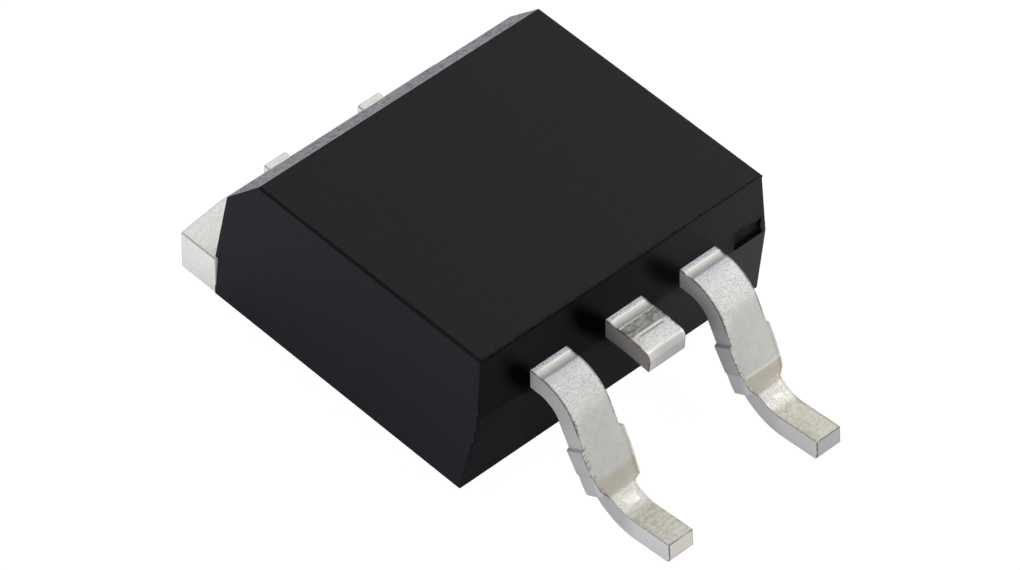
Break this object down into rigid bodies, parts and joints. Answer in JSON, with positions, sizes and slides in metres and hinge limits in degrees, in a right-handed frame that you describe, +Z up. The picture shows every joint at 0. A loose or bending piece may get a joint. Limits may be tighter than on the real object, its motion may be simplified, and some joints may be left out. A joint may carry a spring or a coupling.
{
  "type": "power transistor",
  "caption": "Surface-mount power transistor: black moulded body on a solderable metal tab, with bent outer leads and a short cut centre lead.",
  "frame": {"origin": "under the middle of the whole part, in the plane that the heels of the two feet stand on", "axes": "+X across the package from the gate lead to the source lead, +Y from the leads to the tab, +Z up out of the top face"},
  "size_m": [0.0102, 0.0158, 0.0047],
  "materials": {
    "moulding": "matte black epoxy moulding with a fine spark-eroded grain",
    "tin_plate": "matte tin plating with a fine grain",
    "chip": "polished chip with a metallised top",
    "solder": "satin solder",
    "bond_wire": "bright drawn wire"
  },
  "bodies": {
    "root": {"mould_body": "moulding", "heatsink_tab": "tin_plate", "gate_lead": "tin_plate", "source_lead": "tin_plate", "silicon_die": "chip", "die_solder": "solder", "gate_bond_wire": "bond_wire", "source_bond_wire_1": "bond_wire", "source_bond_wire_2": "bond_wire"}
  },
  "joints": []
}
